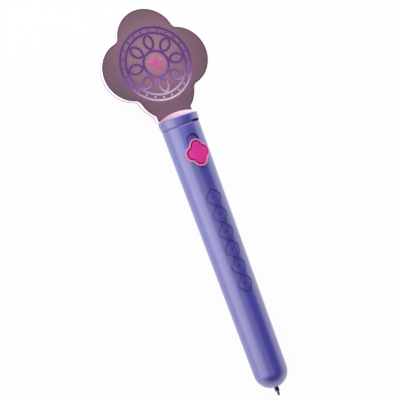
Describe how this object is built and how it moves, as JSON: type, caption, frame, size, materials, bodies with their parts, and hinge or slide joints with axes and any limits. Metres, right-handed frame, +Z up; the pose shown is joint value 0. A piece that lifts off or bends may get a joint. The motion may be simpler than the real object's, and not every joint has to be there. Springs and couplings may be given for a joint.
{
  "type": "light-up pen",
  "caption": "Retractable ballpoint pen with a round-nosed tapered barrel, a lobed thumb slider, a glowing frosted collar dome and a lobed edge-lit acrylic plate on top.",
  "frame": {"origin": "centre of the pen's box on the table that it lies on", "axes": "+X along the pen towards the lobed plate, +Z up from the table; the slider and the plate's front face up and lean towards -Y"},
  "size_m": [0.1994, 0.0554, 0.0205],
  "materials": {
    "purple_plastic": "satin moulded",
    "pink_plastic": "satin moulded",
    "frosted_plastic": "frosted, lit from inside",
    "mauve_acrylic": "polished, edge-lit",
    "natural_plastic": "as moulded",
    "black_plastic": "as moulded",
    "circuit_board": "solder mask",
    "lens_resin": "clear resin over phosphor",
    "ink": "black paste",
    "clear_tube": "extruded",
    "nickel_steel": "nickel plated",
    "brass": "stamped",
    "carbide": "polished"
  },
  "bodies": {
    "pen_body": {"barrel": "purple_plastic", "refill_guide": "natural_plastic", "collar": "purple_plastic", "diffuser": "frosted_plastic", "light_plate": "mauve_acrylic", "circuit_board": "circuit_board", "led_package": "natural_plastic", "led_lens": "lens_resin", "driver_chip": "black_plastic", "resistor": "black_plastic", "battery_cover": "natural_plastic", "negative_contact": "brass", "cell_lower": "nickel_steel", "cell_upper": "nickel_steel", "positive_contact": "brass", "contact_leaf_left": "brass", "contact_leaf_right": "brass"},
    "slider": {"slider_button": "pink_plastic", "carriage": "natural_plastic", "detent_spring": "nickel_steel", "bridge_contact": "brass", "refill_tube": "clear_tube", "ink_column": "ink", "point_holder": "black_plastic", "writing_point": "nickel_steel"},
    "ball": {"writing_ball": "carbide"}
  },
  "joints": [
    {"name": "slider_slide", "type": "slide", "parent": "pen_body", "child": "slider", "axis": [0.9999, 0, 0.0131], "range_m": [0, 0.005]},
    {"name": "ball_roll", "type": "hinge", "parent": "slider", "child": "ball", "pos_m": [-0.09929, -0.00063, 0.00819], "axis": [0.0029, -0.9745, -0.2245], "continuous": true}
  ]
}
